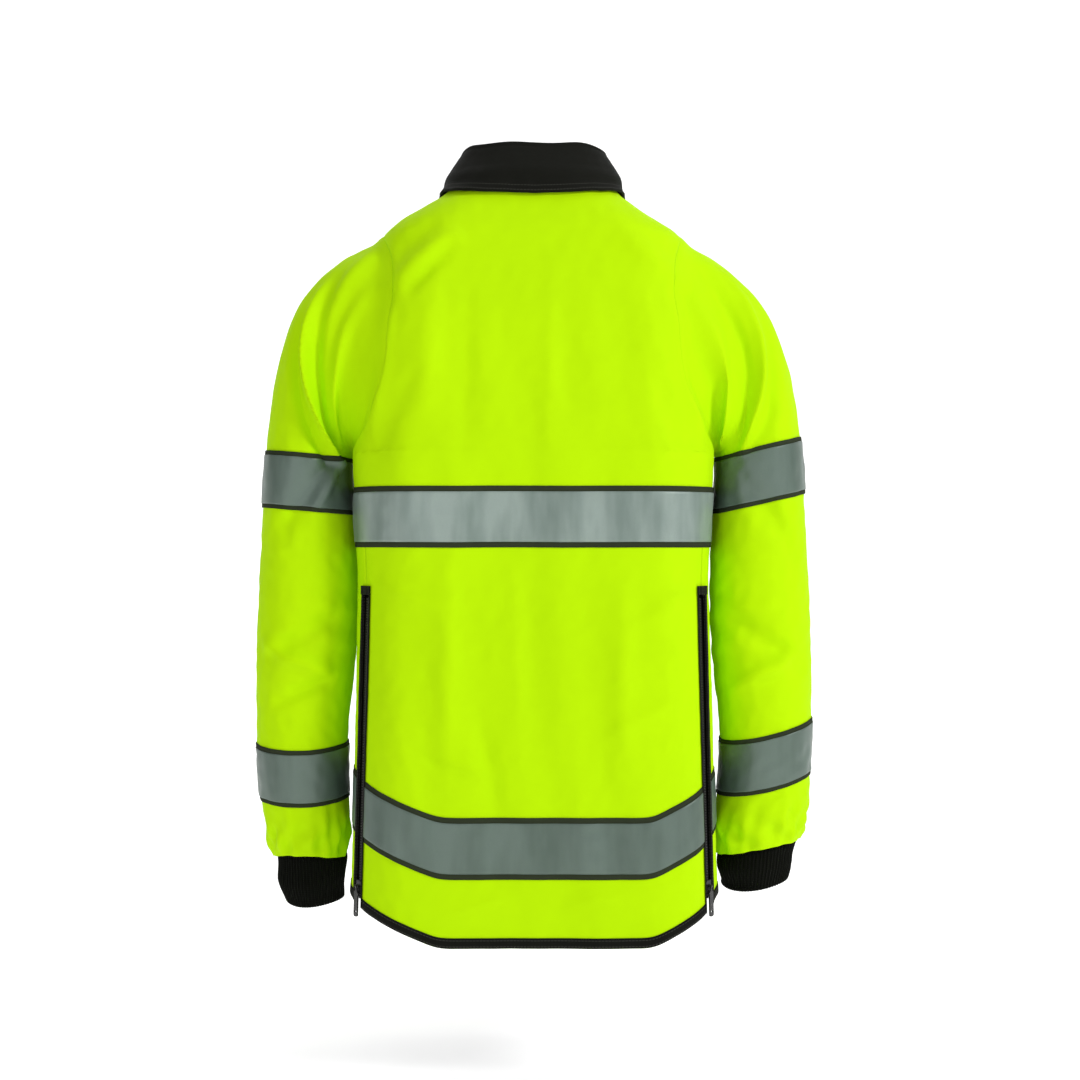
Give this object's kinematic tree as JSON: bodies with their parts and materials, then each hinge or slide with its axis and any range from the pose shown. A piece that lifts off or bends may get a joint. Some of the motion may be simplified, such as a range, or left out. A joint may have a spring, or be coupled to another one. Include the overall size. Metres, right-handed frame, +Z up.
{
  "type": "high-visibility responder coat",
  "caption": "Thigh-length high-visibility coat with set-in sleeves, reflective bands, zipped front under a storm flap and zipped side vents",
  "frame": {"origin": "middle of the neck opening at the height of the collar seam at the back", "axes": "+Z up, the wearer faces -Y, +X is the wearer's left"},
  "size_m": [0.592, 0.2636, 0.8222],
  "materials": {
    "lime_shell": "woven fluorescent yellow-green polyester",
    "black_lining": "smooth black lining",
    "silver_tape": "silver retro-reflective tape",
    "tape_backing": "dark woven backing tape",
    "black_trim": "black woven trim",
    "black_knit": "black ribbed knit",
    "zip_tape": "black woven zip tape",
    "zip_coil": "black moulded nylon",
    "zip_metal": "black enamelled zinc",
    "snap_metal": "black enamelled brass"
  },
  "bodies": {
    "torso": {"back_hem_binding": "black_trim", "back_panel": "lime_shell", "body_lining": "black_lining", "chest_band_backing": "tape_backing", "chest_band_silver": "silver_tape", "collar_fall": "black_trim", "collar_stand": "black_trim", "flap_snap_studs": "snap_metal", "hang_loop": "black_trim", "hem_band_backing": "tape_backing", "hem_band_silver": "silver_tape", "left_front_hem_binding": "black_trim", "left_front_panel": "lime_shell", "left_pocket": "lime_shell", "left_side_zip_coil": "zip_coil", "left_side_zip_tape": "zip_tape", "left_sleeve_head": "lime_shell", "left_zip_coil": "zip_coil", "left_zip_tape": "zip_tape", "mic_tabs": "black_trim", "pocket_snap_studs": "snap_metal", "right_front_hem_binding": "black_trim", "right_front_panel": "lime_shell", "right_pocket": "lime_shell", "right_side_zip_coil": "zip_coil", "right_side_zip_tape": "zip_tape", "right_sleeve_head": "lime_shell", "right_zip_coil": "zip_coil", "right_zip_tape": "zip_tape", "zip_bottom_box": "zip_metal", "zip_top_stops": "zip_metal"},
    "left_upper_arm": {"left_upper_sleeve": "lime_shell", "left_upper_sleeve_band_silver": "silver_tape", "left_upper_sleeve_band_backing": "tape_backing", "left_elbow_gusset": "lime_shell"},
    "left_forearm": {"left_lower_sleeve": "lime_shell", "left_lower_sleeve_band_silver": "silver_tape", "left_lower_sleeve_band_backing": "tape_backing", "left_cuff": "black_knit"},
    "left_side_slider": {"left_side_zip_slider": "zip_metal"},
    "left_side_pull": {"left_side_zip_pull": "zip_metal"},
    "left_flap": {"left_pocket_flap": "lime_shell", "left_pocket_flap_caps": "snap_metal"},
    "right_upper_arm": {"right_upper_sleeve": "lime_shell", "right_upper_sleeve_band_silver": "silver_tape", "right_upper_sleeve_band_backing": "tape_backing", "right_elbow_gusset": "lime_shell"},
    "right_forearm": {"right_lower_sleeve": "lime_shell", "right_lower_sleeve_band_silver": "silver_tape", "right_lower_sleeve_band_backing": "tape_backing", "right_cuff": "black_knit"},
    "right_side_slider": {"right_side_zip_slider": "zip_metal"},
    "right_side_pull": {"right_side_zip_pull": "zip_metal"},
    "right_flap": {"right_pocket_flap": "lime_shell", "right_pocket_flap_caps": "snap_metal"},
    "front_slider": {"zip_slider": "zip_metal"},
    "front_pull": {"zip_pull": "zip_metal"},
    "storm": {"storm_flap": "lime_shell", "flap_snap_caps": "snap_metal"}
  },
  "joints": [
    {"name": "left_shoulder", "type": "hinge", "parent": "torso", "child": "left_upper_arm", "pos_m": [0.2, 0, -0.17], "axis": [0, -1, 0], "range_deg": [0, 70], "deforming": ["left_sleeve_head"]},
    {"name": "left_elbow", "type": "hinge", "parent": "left_upper_arm", "child": "left_forearm", "pos_m": [0.244, -0.003, -0.43], "axis": [-1, 0, 0], "range_deg": [0, 90], "deforming": ["left_elbow_gusset"]},
    {"name": "left_pocket_flap_hinge", "type": "hinge", "parent": "torso", "child": "left_flap", "pos_m": [0.095, -0.11928, -0.43952], "axis": [-1, 0, 0], "range_deg": [0, 110]},
    {"name": "left_side_zip_slide", "type": "slide", "parent": "torso", "child": "left_side_slider", "axis": [-0.0266, -0.0166, 0.9995], "range_m": [0, 0.28]},
    {"name": "left_side_pull_hinge", "type": "hinge", "parent": "left_side_slider", "child": "left_side_pull", "pos_m": [0.18096, 0.08553, -0.71184], "axis": [0.5299, -0.848, 0], "range_deg": [0, 120]},
    {"name": "right_shoulder", "type": "hinge", "parent": "torso", "child": "right_upper_arm", "pos_m": [-0.2, 0, -0.17], "axis": [0, 1, 0], "range_deg": [0, 70], "deforming": ["right_sleeve_head"]},
    {"name": "right_elbow", "type": "hinge", "parent": "right_upper_arm", "child": "right_forearm", "pos_m": [-0.244, -0.003, -0.43], "axis": [-1, 0, 0], "range_deg": [0, 90], "deforming": ["right_elbow_gusset"]},
    {"name": "right_pocket_flap_hinge", "type": "hinge", "parent": "torso", "child": "right_flap", "pos_m": [-0.095, -0.11928, -0.43952], "axis": [-1, 0, 0], "range_deg": [0, 110]},
    {"name": "right_side_zip_slide", "type": "slide", "parent": "torso", "child": "right_side_slider", "axis": [0.0266, -0.0166, 0.9995], "range_m": [0, 0.28]},
    {"name": "right_side_pull_hinge", "type": "hinge", "parent": "right_side_slider", "child": "right_side_pull", "pos_m": [-0.18096, 0.08553, -0.71184], "axis": [0.5299, 0.848, 0], "range_deg": [0, 120]},
    {"name": "storm_flap_hinge", "type": "hinge", "parent": "torso", "child": "storm", "pos_m": [0.036, -0.11874, -0.42753], "axis": [0, 0.045, 0.999], "range_deg": [0, 90]},
    {"name": "zip_slide", "type": "slide", "parent": "torso", "child": "front_slider", "axis": [0, -0.045, -0.999], "range_m": [0, 0.66]},
    {"name": "zip_pull_hinge", "type": "hinge", "parent": "front_slider", "child": "front_pull", "pos_m": [0, -0.10274, -0.07189], "axis": [-1, 0, 0], "range_deg": [0, 120]}
  ]
}
